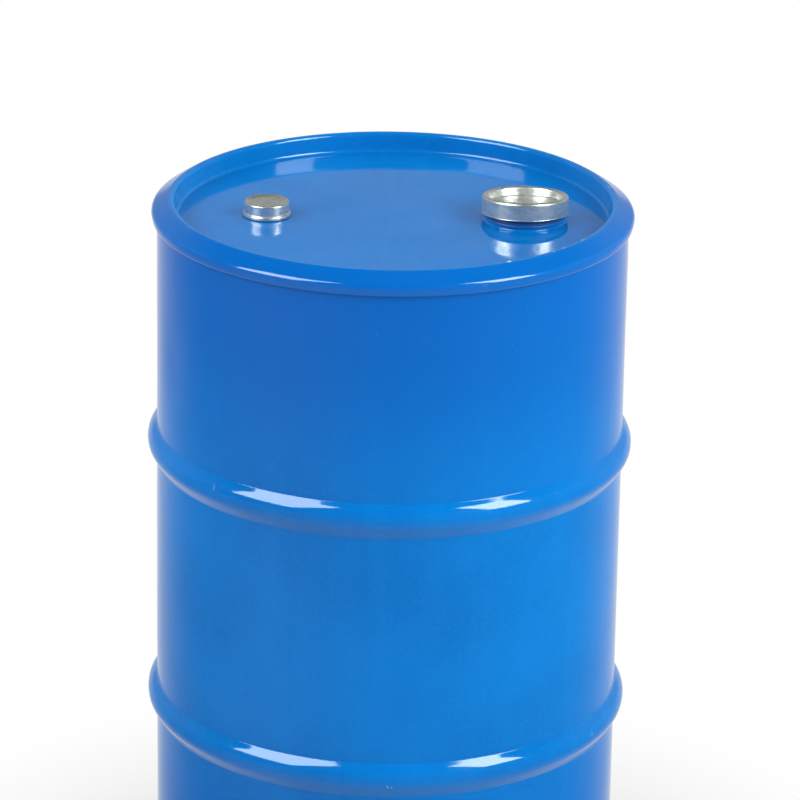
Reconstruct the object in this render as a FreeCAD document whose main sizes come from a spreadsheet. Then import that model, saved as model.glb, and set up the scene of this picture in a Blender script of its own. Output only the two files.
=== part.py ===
import FreeCAD, Part
import math
import os
import Sketcher
import PartDesign
import Spreadsheet

# Tight-head steel drum, 60 litre class, with a G2 bung and a G3/4 vent, each
# screwed into its own flange and covered by a crimped metal cap seal.
# Frame: +Z up, origin on the drum's axis in the plane the bottom chime rests
# on, +X towards the G2 bung. Millimetres.

V = FreeCAD.Vector
doc = FreeCAD.newDocument("steel_drum")

# ---------------------------------------------------------------- dimensions
# "ctr" is the radius at which a bend's centre lies, "depth" is measured from
# the crest of the nearer chime, and "deg" marks an angle in degrees.
DIMENSIONS = [
    # shell
    ("wall_inner_rad", 190.5),
    ("wall_thick", 0.9),
    ("drum_height", 636.2),
    ("hoop_low_level", 207.6),
    ("hoop_high_level", 431.4),
    ("hoop_outer_rad", 199.0),
    ("hoop_crest_rad", 14.0),
    ("hoop_base_rad", 1.2),
    ("hoop_up", 13.6),              # the flank above a hoop's crest is the steeper one
    ("hoop_down", 16.4),
    ("weld_width_deg", 2.6),        # flattened side weld, about 8.7 mm wide
    ("weld_proud", 0.25),
    ("weld_root_share", 0.3),       # inner face, in half walls outside the mid-sheet
    ("weld_end_gap", 21.6),         # from each end of the drum
    # chime: the head's edge rolled over the shell's curled edge. Its section
    # has a narrow flat land on the crest close to the chuck wall, a long slope
    # outwards and down, and a rounded outer shoulder.
    ("crest_inner_ctr", 180.2),
    ("crest_outer_ctr", 181.4),
    ("crest_rad", 3.0),             # outside radius at the crest
    ("shoulder_ctr", 191.5),
    ("shoulder_depth", 11.1),
    ("shoulder_rad", 4.5),
    ("tuck_ctr", 190.9),
    ("tuck_depth", 14.2),
    ("tuck_end_deg", 77.0),         # where the head's edge stops on the tuck bend
    ("layer_gap", 0.6),             # room for the compound between the sheets
    ("shell_neck_rad", 0.8),
    ("shell_neck_depth", 17.6),
    ("shell_hook_depth", 12.6),
    ("compound_thick", 0.5),
    ("compound_end_deg", 40.0),
    ("compound_leg_gap", 1.0),      # its leg ends short of the shell's hook
    # heads
    ("head_thick", 1.0),
    ("head_depth", 16.1),           # crest of the chime to the face of the head
    ("chuck_wall_rad", 177.2),      # mid-sheet radius at the foot of the chuck wall
    ("head_corner_rad", 3.5),
    # openings of the top head
    ("bung_offset", 107.0),
    ("vent_offset", 102.5),
    ("collar_top", 3.2),
    ("collar_fillet", 1.8),
    ("opening_margin", 2.5),        # opening beyond the collar's outside
    ("collar_overlap", 2.0),        # collar's flat foot beyond the opening
    # flanges and their gaskets
    ("well", 20.0),                 # local zero of the closures, below the head's face
    ("lip_gap", 0.15),
    ("lip_thick", 1.3),
    ("lip_chamfer", 0.3),
    ("bore_chamfer", 0.6),
    ("base_drop", 3.2),             # head's face to the top of the base
    ("gasket_drop", 3.1),           # head's face to the foot of the flange gasket
    ("gasket_height", 2.0),
    ("gasket_bore_gap", 0.15),
    # plugs and their gaskets
    ("seat_gap", 0.05),
    ("plug_drop", 7.0),             # head's face to the foot of the plug
    ("plug_floor_thick", 2.0),
    ("plug_lead_in", 1.0),          # radial size of the chamfer at the foot
    ("plug_lead_height", 0.9),
    ("relief_start", 3.6),          # below the rim, where the relief begins
    ("relief_full", 2.9),           # below the rim, where it is full depth
    ("relief_extra", 0.2),          # relief deeper than the thread's root
    ("rim_chamfer", 0.4),
    ("cup_chamfer", 0.5),
    ("lug_side_embed", 0.3),
    ("lug_floor_embed", 0.5),
    ("plug_gasket_bore_gap", 0.35),
    ("plug_gasket_overhang", 0.1),
    # threads
    ("flank_deg", 27.5),            # half of the 55 degree thread angle
    ("flank_relief", 0.1),          # each thread's own relief
    ("plug_thread_lag", 3.5),       # in pitches, above the start of the flange's
    # cap seals
    ("seal_thick", 0.4),
    ("vent_hem_out", 0.4),          # centre of the hem's bend, outside the skirt
    ("vent_hem_level", 2.3),
    ("vent_seal_foot", 0.8),
    ("two_foot_end_deg", 235.0),
    # the larger seal sits askew: its -Y side stands higher than its +Y side
    ("seal_tilt_deg", 5.6),
    ("seal_lift", 4.9),
    ("seal_pivot", 1.0),            # above the head's face
]
# Sizes that both closures have; each becomes two_NAME and vent_NAME.
# Columns: name, G2 closure, G3/4 closure
CLOSURE_DIMENSIONS = [
    ("pitch", 2.309, 1.814),
    ("pitch_rad", 29.07, 12.64),
    ("bore_rad", 28.4, 12.15),
    ("groove_rad", 29.95, 13.4),
    ("neck_rad", 31.6, 14.9),
    ("neck_below", 14.0, 12.0),         # head's face to the foot of the neck
    ("collar_rad", 31.75, 15.05),
    ("lip_rad", 33.9, 16.9),
    ("base_circum", 40.0, 22.0),
    ("base_thick", 2.6, 2.2),
    ("bore_margin", 0.15, 0.1),         # groove's overlap into the empty bore
    ("flange_turns", 11.0, 12.0),
    ("gasket_reach", 4.4, 3.2),         # outside of the flange gasket, from the neck
    ("gasket_thick", 1.7, 1.5),         # plug gasket
    ("crest_rad", 29.55, 13.0),
    ("root_rad", 28.0, 11.8),
    ("crest_margin", 0.3, 0.2),         # groove's overlap outside the plug's crest
    ("plug_turns", 5.5, 6.5),
    ("plug_rad", 33.4, 16.7),
    ("plug_rim", 4.0, 1.4),
    ("cup_rad", 25.5, 9.4),
    ("lug_length", 7.5, 3.8),           # inwards from the cup's wall
    ("lug_half_width", 4.5, 2.2),
    ("lug_top", 2.0, 1.5),              # above the head's face
    ("seal_rad", 35.05, 18.05),
    ("seal_top", 15.4, 12.3),
    ("crown_rad", 2.3, 1.3),
    ("dish_level", 8.8, 10.9),
    ("dish_rad", 28.0, 13.6),
    ("dish_bend", 1.2, 0.8),
    ("foot_rad", 0.7, 0.9),             # outward bend at the foot of the skirt
    ("foot_level", 1.6, 4.2),
]
for word, two_value, vent_value in CLOSURE_DIMENSIONS:
    DIMENSIONS += [("two_" + word, two_value), ("vent_" + word, vent_value)]
BASE_SIDES = 8

sheet = doc.addObject("Spreadsheet::Sheet", "dims")
sheet.Label = "dims"
for row, (alias, value) in enumerate(DIMENSIONS, start=1):
    sheet.set("A%d" % row, alias.replace("_", " "))
    sheet.set("B%d" % row, repr(value))
    sheet.setAlias("B%d" % row, alias)
doc.recompute()


class Dim:
    """A size with its value and the expression that drives it."""

    def __init__(self, value, text):
        self.value = float(value)
        self.text = text

    @staticmethod
    def of(other):
        return other if isinstance(other, Dim) else Dim(other, "%r" % float(other))

    def join(self, other, sign, value):
        return Dim(value, "(%s %s %s)" % (self.text, sign, other.text))

    def __neg__(self):
        return Dim(-self.value, "(0 - %s)" % self.text)

    def __add__(self, other):
        other = Dim.of(other)
        return self.join(other, "+", self.value + other.value)

    def __sub__(self, other):
        other = Dim.of(other)
        return self.join(other, "-", self.value - other.value)

    def __mul__(self, other):
        other = Dim.of(other)
        return self.join(other, "*", self.value * other.value)

    def __truediv__(self, other):
        other = Dim.of(other)
        return self.join(other, "/", self.value / other.value)


def dim(alias):
    return Dim(sheet.get(alias), "dims." + alias)


def trig(function, angle):
    """The "sin", "cos" or "tan" of a driven angle in degrees."""
    value = getattr(math, function)(math.radians(angle.value))
    return Dim(value, "%s(%s)" % (function, angle.text))


# ------------------------------------------------------------------ sketches
# Sketcher's numbers for the points of a geometry and for its own axes
START, END, CENTRE = 1, 2, 3
X_AXIS, Y_AXIS = -1, -2
ORIGIN = (X_AXIS, START)


def new_body(name):
    body = doc.addObject("PartDesign::Body", name)
    body.Label = name
    return body


def new_sketch(body, name, role="XZ_Plane", shift=None):
    sketch = body.newObject("Sketcher::SketchObject", name)
    plane = [item for item in body.Origin.OriginFeatures if item.Role == role][0]
    sketch.AttachmentSupport = [(plane, "")]
    sketch.MapMode = "FlatFace"
    if shift is not None:
        sketch.setExpression("AttachmentOffset.Base.x", shift.text)
        sketch.AttachmentOffset = FreeCAD.Placement(V(shift.value, 0, 0), FreeCAD.Rotation())
    return sketch


class Outline:
    """Collects the constraints of one sketch and adds them together."""

    def __init__(self, sketch):
        self.sketch = sketch
        self.rows = []
        self.driven = []

    def join(self, *args):
        self.rows.append(Sketcher.Constraint(*args))

    def bind(self, constraint, text):
        constraint.Name = "size%d" % (len(self.driven) + 1)
        self.rows.append(constraint)
        self.driven.append((constraint.Name, text))

    def drive(self, kind, geo, pos, size):
        """A coordinate of a point, measured from the sketch's origin."""
        if abs(size.value) < 1e-9:
            self.join("PointOnObject", geo, pos, Y_AXIS if kind == "DistanceX" else X_AXIS)
        elif size.value > 0:
            self.bind(Sketcher.Constraint(kind, *ORIGIN, geo, pos, size.value), size.text)
        else:
            size = -size
            self.bind(Sketcher.Constraint(kind, geo, pos, *ORIGIN, size.value), size.text)

    def radius(self, geo, size):
        self.bind(Sketcher.Constraint("Radius", geo, size.value), size.text)

    def finish(self):
        self.sketch.addConstraint(self.rows)
        for name, text in self.driven:
            self.sketch.setExpression("Constraints." + name, text)


def polygon(sketch, points):
    """A closed polygon: every corner's place is driven by the sheet."""
    points = [(Dim.of(x), Dim.of(y)) for x, y in points]
    vectors = [V(x.value, y.value, 0) for x, y in points]
    total = len(points)
    lines = [Part.LineSegment(vectors[i], vectors[(i + 1) % total]) for i in range(total)]
    first = sketch.addGeometry(lines, False)[0]
    outline = Outline(sketch)
    for i in range(total):
        outline.join("Coincident", first + i, END, first + (i + 1) % total, START)
    for i, (x, y) in enumerate(points):
        outline.drive("DistanceX", first + i, START, x)
        outline.drive("DistanceY", first + i, START, y)
    outline.finish()


# A sheet's section is the band between two offsets of a path. The path is a
# chain of bends joined by their common tangents, and it is closed off at each
# end by a StraightEnd or an AngleEnd. Positive offsets lie left of the path.
class Bend:
    """Centre, mid-sheet radius, and turn: +1 to the left, -1 to the right."""

    def __init__(self, x, y, radius, turn):
        self.x, self.y, self.radius, self.turn = x, y, radius, turn
        self.centre = V(x.value, y.value, 0)

    def radius_at(self, offset):
        return self.radius - offset * self.turn

    def touch(self, left, offset):
        """Where an offset path passes, given the direction to its left."""
        return self.centre - left * (self.turn * self.radius_at(offset).value)


class StraightEnd:
    """The path begins or ends at a point, running "out", "up" or "down"."""

    LEFT = {"out": V(0, 1, 0), "up": V(-1, 0, 0), "down": V(1, 0, 0)}

    def __init__(self, x, y, heading):
        self.x, self.y, self.heading = Dim.of(x), y, heading

    def points(self, bend, offset):
        left = self.LEFT[self.heading]
        tip = V(self.x.value, self.y.value, 0) + left * offset.value
        return [tip, bend.touch(left, offset)]

    def pin(self, outline, geo, pos, bend, offset):
        if self.heading == "out":
            outline.drive("DistanceX", geo, pos, self.x)
        else:
            outline.drive("DistanceY", geo, pos, self.y)


class AngleEnd:
    """The path begins or ends at an angle on its first or last bend."""

    def __init__(self, angle):
        self.angle = angle

    def points(self, bend, offset):
        angle = math.radians(self.angle.value)
        arm = V(math.cos(angle), math.sin(angle), 0)
        return [bend.centre + arm * bend.radius_at(offset).value]

    def pin(self, outline, geo, pos, bend, offset):
        # drive the coordinate that changes fastest along the arc
        radius = bend.radius_at(offset)
        sine, cosine = trig("sin", self.angle), trig("cos", self.angle)
        if abs(sine.value) > 0.7071:
            outline.drive("DistanceX", geo, pos, bend.x + radius * cosine)
        else:
            outline.drive("DistanceY", geo, pos, bend.y + radius * sine)


def tangent(here, there, offset):
    """Ends of the directed common tangent from one bend to the next."""
    span = there.centre - here.centre
    lift = (there.radius_at(offset).value * there.turn
            - here.radius_at(offset).value * here.turn) / span.Length
    heading = math.atan2(span.y, span.x) - math.asin(lift)
    left = V(-math.sin(heading), math.cos(heading), 0)
    return [here.touch(left, offset), there.touch(left, offset)]


class Piece:
    """A line or arc of a drawn edge, with its end points in path order."""

    def __init__(self, geo, first, last, bend=None):
        self.geo, self.first, self.last, self.bend = geo, first, last, bend


def draw_arc(sketch, bend, offset, begin, finish):
    if bend.turn < 0:
        begin, finish = finish, begin
    low, high = [math.atan2(point.y - bend.centre.y, point.x - bend.centre.x)
                 for point in (begin, finish)]
    while high <= low:
        high += 2 * math.pi
    circle = Part.Circle(bend.centre, V(0, 0, 1), bend.radius_at(offset).value)
    geo = sketch.addGeometry(Part.ArcOfCircle(circle, low, high), False)
    first, last = (START, END) if bend.turn > 0 else (END, START)
    return Piece(geo, first, last, bend)


def draw_edge(sketch, bends, offset, start, end):
    points = start.points(bends[0], offset)
    arcs_at = len(points) - 1       # lines and arcs alternate along the edge
    for here, there in zip(bends, bends[1:]):
        points += tangent(here, there, offset)
    points += end.points(bends[-1], offset)[::-1]
    pieces = []
    for i, (begin, finish) in enumerate(zip(points, points[1:])):
        if i % 2 == arcs_at:
            pieces.append(draw_arc(sketch, bends[i // 2], offset, begin, finish))
        else:
            geo = sketch.addGeometry(Part.LineSegment(begin, finish), False)
            pieces.append(Piece(geo, START, END))
    return pieces


def strip(sketch, bends, low, high, start, end):
    """A sheet's section between the offsets low and high of a path of bends."""
    outline = Outline(sketch)
    offsets = (low, high)
    edges = [draw_edge(sketch, bends, offset, start, end) for offset in offsets]
    for edge, offset in zip(edges, offsets):
        for piece, following in zip(edge, edge[1:]):
            outline.join("Coincident", piece.geo, piece.last, following.geo, following.first)
        for piece, twin in zip(edge, edges[0]):
            if piece.bend is None:
                continue
            if piece is twin:
                outline.drive("DistanceX", piece.geo, CENTRE, piece.bend.x)
                outline.drive("DistanceY", piece.geo, CENTRE, piece.bend.y)
            else:
                outline.join("Coincident", piece.geo, CENTRE, twin.geo, CENTRE)
            outline.radius(piece.geo, piece.bend.radius_at(offset))

    # the two cut ends of the sheet
    starts = [(edge[0].geo, edge[0].first) for edge in edges]
    ends = [(edge[-1].geo, edge[-1].last) for edge in edges]
    for which, bend, tips in ((start, bends[0], starts), (end, bends[-1], ends)):
        corners = [sketch.getPoint(*tip) for tip in tips]
        cut = sketch.addGeometry(Part.LineSegment(*corners), False)
        outline.join("Coincident", cut, START, *tips[0])
        outline.join("Coincident", cut, END, *tips[1])
        for tip, offset in zip(tips, offsets):
            which.pin(outline, *tip, bend, offset)
    outline.finish()


def sheet_strip(sketch, bends, thick, start, end):
    """A strip centred on its path."""
    strip(sketch, bends, thick * -0.5, thick * 0.5, start, end)


# ------------------------------------------------------------------ features
def drive(item, **sizes):
    for name, size in sizes.items():
        setattr(item, name, size.value)
        item.setExpression(name, size.text)


def place(item, rotation=None, **places):
    base = [places[axis].value if axis in places else 0 for axis in "xyz"]
    item.Placement = FreeCAD.Placement(V(*base), rotation or FreeCAD.Rotation())
    for axis, size in places.items():
        item.setExpression(".Placement.Base." + axis, size.text)


def complete(body, feature):
    body.Tip = feature
    doc.recompute()


def require_cut(body, before, least):
    if before - body.Shape.Volume < least:
        raise RuntimeError("%s was not cut" % body.Tip.Name)


def revolve(body, sketch, name, angle=None):
    """A full turn, or a driven angle spread evenly about the sketch."""
    feature = body.newObject("PartDesign::Revolution", name)
    feature.Profile = sketch
    feature.ReferenceAxis = (sketch, ["V_Axis"])
    if angle is None:
        feature.Angle = 360.0
    else:
        drive(feature, Angle=angle)
    feature.Midplane = angle is not None
    complete(body, feature)


def rings(name, points):
    """A turned piece given by the corners of its section."""
    body = new_body(name)
    sketch = new_sketch(body, name + "_section")
    polygon(sketch, points)
    revolve(body, sketch, name + "_turn")
    return body


def box(body, name, x_low, x_high, half_width, z_low, z_high):
    block = body.newObject("PartDesign::AdditiveBox", name)
    drive(block, Length=x_high - x_low, Width=half_width * 2, Height=z_high - z_low)
    place(block, x=x_low, y=-half_width, z=z_low)
    complete(body, block)


# -------------------------------------------------------------------- chimes
height = dim("drum_height")
wall_thick = dim("wall_thick")
wall_mid = dim("wall_inner_rad") + wall_thick / 2
wall_out = dim("wall_inner_rad") + wall_thick
head_thick = dim("head_thick")


def level(depth, top):
    """Height of a point a given depth inside the top or the bottom crest."""
    return height - depth if top else depth


def chime_bends(inset, top):
    """The chime's four bends, at an inset from its outside, wall to crest."""
    crest = dim("crest_rad") - inset
    side = dim("shoulder_rad") - inset
    return [
        Bend(dim("tuck_ctr"), level(dim("tuck_depth"), top), side, +1),
        Bend(dim("shoulder_ctr"), level(dim("shoulder_depth"), top), side, +1),
        Bend(dim("crest_outer_ctr"), level(dim("crest_rad"), top), crest, +1),
        Bend(dim("crest_inner_ctr"), level(dim("crest_rad"), top), crest, +1),
    ]


def chime_leg(inset, depth, top):
    """The leg that hangs from the inner crest bend, ending at a depth."""
    radius = dim("crest_inner_ctr") - (dim("crest_rad") - inset)
    return StraightEnd(radius, level(depth, top), "down")


# --------------------------------------------------------------- body shell
def hoop(crest_level):
    base_rad = dim("hoop_base_rad")
    crest_rad = dim("hoop_crest_rad")
    base_ctr = wall_out + base_rad
    base_bend = base_rad + wall_thick / 2
    return [
        Bend(base_ctr, crest_level - dim("hoop_down"), base_bend, -1),
        Bend(dim("hoop_outer_rad") - crest_rad, crest_level, crest_rad - wall_thick / 2, +1),
        Bend(base_ctr, crest_level + dim("hoop_up"), base_bend, -1),
    ]


def shell_curl(inset, top):
    neck_rad = dim("shell_neck_rad")
    neck = Bend(wall_mid + neck_rad, level(dim("shell_neck_depth"), top), neck_rad, -1)
    rows = [neck] + chime_bends(inset, top)
    return rows if top else rows[::-1]


def build_body_shell():
    body = new_body("body_shell")
    hoops = hoop(dim("hoop_low_level")) + hoop(dim("hoop_high_level"))
    inset = head_thick + dim("layer_gap") + wall_thick / 2
    hook_depth = dim("shell_hook_depth")
    section = new_sketch(body, "shell_section")
    sheet_strip(section, shell_curl(inset, False) + hoops + shell_curl(inset, True),
                wall_thick, chime_leg(inset, hook_depth, False),
                chime_leg(inset, hook_depth, True))
    revolve(body, section, "shell_turn")

    # the flattened lap weld runs up the +Y side of the shell, over both hoops
    half_wall = wall_thick / 2
    end_gap = dim("weld_end_gap")
    weld = new_sketch(body, "weld_section", "YZ_Plane")
    strip(weld, hoops, -half_wall - dim("weld_proud"), -half_wall * dim("weld_root_share"),
          StraightEnd(wall_mid, end_gap, "up"), StraightEnd(wall_mid, height - end_gap, "up"))
    revolve(body, weld, "weld_turn", dim("weld_width_deg"))


# -------------------------------------------------------------------- heads
def build_head(name, top):
    body = new_body(name)
    sketch = new_sketch(body, name + "_section")
    turn = 1 if top else -1
    corner_rad = dim("head_corner_rad")
    mid_depth = dim("head_depth") + head_thick / 2
    bends = [Bend(dim("chuck_wall_rad") - corner_rad, level(mid_depth - corner_rad, top),
                  corner_rad, turn)]
    for bend in chime_bends(head_thick / 2, top)[::-1]:
        bends.append(Bend(bend.x, bend.y, bend.radius, -turn))
    tuck_end = dim("tuck_end_deg")
    sheet_strip(sketch, bends, head_thick, StraightEnd(0, level(mid_depth, top), "out"),
                AngleEnd(-tuck_end if top else tuck_end))
    revolve(body, sketch, name + "_turn")
    return body


def add_collar(body, name, offset, inner):
    """An opening in the top head with the metal drawn up into a short collar."""
    face = height - dim("head_depth")
    opening = inner + head_thick + dim("opening_margin")
    cut = new_sketch(body, name + "_opening_sketch", "XY_Plane")
    centre = V(offset.value, 0, 0)
    circle = cut.addGeometry(Part.Circle(centre, V(0, 0, 1), opening.value), False)
    outline = Outline(cut)
    outline.drive("DistanceX", circle, CENTRE, offset)
    outline.join("PointOnObject", circle, CENTRE, X_AXIS)
    outline.radius(circle, opening)
    outline.finish()
    before = body.Shape.Volume
    pocket = body.newObject("PartDesign::Pocket", name + "_opening")
    pocket.Profile = cut
    pocket.Type = 1                 # through all
    pocket.Midplane = True
    complete(body, pocket)
    require_cut(body, before, 0.5 * math.pi * opening.value ** 2 * head_thick.value)

    # down the collar, then out along the flat of the head
    ring = new_sketch(body, name + "_collar_sketch", "XZ_Plane", offset)
    fillet = dim("collar_fillet")
    mid_rad = inner + head_thick / 2
    mid_face = face - head_thick / 2
    sheet_strip(ring, [Bend(mid_rad + fillet, mid_face + fillet, fillet, +1)], head_thick,
                StraightEnd(mid_rad, face + dim("collar_top"), "down"),
                StraightEnd(opening + dim("collar_overlap"), mid_face, "out"))
    revolve(body, ring, name + "_collar")


def build_top_head():
    body = build_head("top_head", True)
    add_collar(body, "bung", dim("bung_offset"), dim("two_collar_rad"))
    add_collar(body, "vent", -dim("vent_offset"), dim("vent_collar_rad"))


def build_compound(name, top):
    """The seam compound between the head's and the shell's layers of a chime."""
    body = new_body(name)
    sketch = new_sketch(body, name + "_section")
    inset = head_thick + dim("layer_gap") / 2
    bends = chime_bends(inset, top)
    angle = dim("compound_end_deg")
    thick = dim("compound_thick")
    leg = chime_leg(inset, dim("shell_hook_depth") - dim("compound_leg_gap"), top)
    if top:
        sheet_strip(sketch, bends, thick, AngleEnd(-angle), leg)
    else:
        sheet_strip(sketch, bends[::-1], thick, leg, AngleEnd(angle))
    revolve(body, sketch, name + "_turn")


# ---------------------------------------------------------------- closures
# Each piece is built about its own axis, with the head's face at z = well.
# size(NAME) looks up one of CLOSURE_DIMENSIONS for the closure being built.
well = dim("well")
lip_low = well + dim("collar_top") + dim("lip_gap")
lip_top = lip_low + dim("lip_thick")
seat = lip_top + dim("seat_gap")


def cut_thread(body, name, size, inner, outer, lag, widening, turns):
    """A helical groove between two radii, wider outwards (+1) or inwards (-1).

    lag is the start of the groove above the start of the flange's groove.
    """
    pitch = size("pitch")
    centre = well - size("neck_below") - pitch + lag
    slope = trig("tan", dim("flank_deg")) * widening

    def half_width(radius):
        return pitch / 4 + (radius - size("pitch_rad")) * slope + dim("flank_relief")

    sketch = new_sketch(body, name + "_groove")
    polygon(sketch, [
        (inner, centre - half_width(inner)), (outer, centre - half_width(outer)),
        (outer, centre + half_width(outer)), (inner, centre + half_width(inner))])
    before = body.Shape.Volume
    helix = body.newObject("PartDesign::SubtractiveHelix", name + "_thread")
    helix.Profile = sketch
    helix.ReferenceAxis = (sketch, ["V_Axis"])
    helix.Mode = 0                  # given by pitch, height and cone angle
    drive(helix, Pitch=pitch, Height=pitch * turns)
    helix.Angle = 0
    complete(body, helix)
    require_cut(body, before, 1.0)


def build_flange(name, size):
    """Threaded neck with a folded lip, and a polygonal base under the head."""
    bore, neck, lip = size("bore_rad"), size("neck_rad"), size("lip_rad")
    bottom = well - size("neck_below")
    lip_chamfer, bore_chamfer = dim("lip_chamfer"), dim("bore_chamfer")
    body = rings(name, [
        (bore, bottom), (neck, bottom), (neck, lip_low), (lip, lip_low),
        (lip, lip_top - lip_chamfer), (lip - lip_chamfer, lip_top),
        (bore + bore_chamfer, lip_top), (bore, lip_top - bore_chamfer)])

    base = body.newObject("PartDesign::AdditivePrism", name + "_base")
    base.Polygon = BASE_SIDES
    drive(base, Circumradius=size("base_circum"), Height=size("base_thick"))
    place(base, FreeCAD.Rotation(V(0, 0, 1), 180.0 / BASE_SIDES),
          z=well - dim("base_drop") - size("base_thick"))
    complete(body, base)

    # the solid base closes the neck, so the bore is opened again
    opening = body.newObject("PartDesign::SubtractiveCylinder", name + "_bore")
    drive(opening, Radius=bore, Height=lip_top - bottom)
    place(opening, z=bottom)
    complete(body, opening)

    cut_thread(body, name, size, inner=bore - size("bore_margin"), outer=size("groove_rad"),
               lag=0, widening=-1, turns=size("flange_turns"))
    return body


def build_flange_gasket(name, size):
    inner = size("neck_rad") + dim("gasket_bore_gap")
    outer = size("neck_rad") + size("gasket_reach")
    low = well - dim("gasket_drop")
    high = low + dim("gasket_height")
    return rings(name, [(inner, low), (outer, low), (outer, high), (inner, high)])


def build_plug(name, size):
    """A threaded cup with a rim, a relief under the rim and two key lugs."""
    crest, outer, cup = size("crest_rad"), size("plug_rad"), size("cup_rad")
    relief = size("root_rad") - dim("relief_extra")
    rim_low = seat + size("gasket_thick") + dim("seat_gap")
    rim_top = rim_low + size("plug_rim")
    foot = well - dim("plug_drop")
    floor = foot + dim("plug_floor_thick")
    rim_chamfer, cup_chamfer = dim("rim_chamfer"), dim("cup_chamfer")
    body = rings(name, [
        (0, foot), (crest - dim("plug_lead_in"), foot), (crest, foot + dim("plug_lead_height")),
        (crest, rim_low - dim("relief_start")), (relief, rim_low - dim("relief_full")),
        (relief, rim_low), (outer, rim_low),
        (outer, rim_top - rim_chamfer), (outer - rim_chamfer, rim_top),
        (cup + cup_chamfer, rim_top), (cup, rim_top - cup_chamfer), (cup, floor), (0, floor)])

    lug_inner = cup - size("lug_length")
    lug_outer = cup + dim("lug_side_embed")
    for letter, x_low, x_high in (("a", lug_inner, lug_outer), ("b", -lug_outer, -lug_inner)):
        box(body, name.replace("plug", "key_lug_") + letter, x_low, x_high,
            size("lug_half_width"), floor - dim("lug_floor_embed"), well + size("lug_top"))

    cut_thread(body, name, size, inner=size("root_rad"), outer=crest + size("crest_margin"),
               lag=size("pitch") * dim("plug_thread_lag"), widening=1,
               turns=size("plug_turns"))
    return body


def build_plug_gasket(name, size):
    inner = size("crest_rad") + dim("plug_gasket_bore_gap")
    outer = size("plug_rad") + dim("plug_gasket_overhang")
    high = seat + size("gasket_thick")
    return rings(name, [(inner, seat), (outer, seat), (outer, high), (inner, high)])


def build_cap_seal(name, size, hem, end):
    """Crimped cap: dished top, rounded crown and a skirt down to the head."""
    body = new_body(name)
    sketch = new_sketch(body, name + "_section")
    crown, dish, foot = size("crown_rad"), size("dish_bend"), size("foot_rad")
    skirt = size("seal_rad")
    dish_level = well + size("dish_level")
    bends = [
        Bend(size("dish_rad"), dish_level + dish, dish, +1),
        Bend(skirt - crown, well + size("seal_top") - crown, crown, -1),
        Bend(skirt + foot, well + size("foot_level"), foot, +1)]
    sheet_strip(sketch, bends + hem, dim("seal_thick"), StraightEnd(0, dish_level, "out"), end)
    revolve(body, sketch, name + "_turn")
    return body


def set_askew(body, x, z):
    """Turns a seal about the X direction round a point of its axis, and raises it."""
    pivot = well + dim("seal_pivot")
    tilt = dim("seal_tilt_deg")
    place(body, FreeCAD.Rotation(V(-1, 0, 0), tilt.value), x=x,
          y=pivot * -trig("sin", tilt),
          z=z + dim("seal_lift") + pivot - pivot * trig("cos", tilt))
    body.setExpression(".Placement.Rotation.Angle", tilt.text)


def build_closure(key, prefix, offset, hem, seal_end, askew):
    """Flange, gaskets, plug and cap seal of one opening."""
    def size(word):
        return dim(key + "_" + word)

    zero_level = height - dim("head_depth") - well
    for build, name in ((build_flange, "_flange"), (build_flange_gasket, "_flange_gasket"),
                        (build_plug, "_plug"), (build_plug_gasket, "_plug_gasket")):
        place(build(prefix + name, size), x=offset, z=zero_level)
    seal = build_cap_seal(prefix + "_cap_seal", size, hem, seal_end)
    if askew:
        set_askew(seal, offset, zero_level)
    else:
        place(seal, x=offset, z=zero_level)


def build_bung():
    """The G2 closure: its seal's foot curls outwards and stops on the bend."""
    build_closure("two", "bung", dim("bung_offset"), hem=[],
                  seal_end=AngleEnd(dim("two_foot_end_deg")), askew=True)


def build_vent():
    """The G3/4 closure: its seal's foot steps outwards and down again."""
    hem_rad = dim("vent_foot_rad")
    hem_ctr = dim("vent_seal_rad") + dim("vent_hem_out")
    build_closure("vent", "vent", -dim("vent_offset"),
                  hem=[Bend(hem_ctr, well + dim("vent_hem_level"), hem_rad, -1)],
                  seal_end=StraightEnd(hem_ctr + hem_rad, well + dim("vent_seal_foot"), "down"),
                  askew=False)


# ------------------------------------------------------------------- output
build_body_shell()
build_top_head()
build_head("bottom_head", False)
build_compound("top_seam_compound", True)
build_compound("bottom_seam_compound", False)
build_bung()
build_vent()

doc.recompute()
for item in doc.Objects:
    if "Invalid" in item.State or "Error" in item.State:
        raise RuntimeError("%s failed: %s" % (item.Name, item.State))
os.makedirs("parts", exist_ok=True)
for item in doc.Objects:
    if item.TypeId != "PartDesign::Body":
        continue
    shape = item.Shape
    if shape.isNull() or not shape.isValid() or len(shape.Solids) != 1:
        raise RuntimeError("%s has no valid single solid" % item.Label)
    shape.exportStep("parts/%s.step" % item.Label)
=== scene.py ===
"""A blue steel drum with two pressed tinplate cap seals on its top head.

It stands on z = 0 with its axis on Z. The front faces -Y, the side weld runs up the back at +Y,
and the bung and the vent lie on the X axis. Lengths are in mm unless a name says otherwise, and
MM turns them into metres. Materials, lights and camera work in metres.
"""

import functools
import math

import bmesh
import bpy
import numpy as np
from mathutils import Matrix, Vector, geometry


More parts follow.
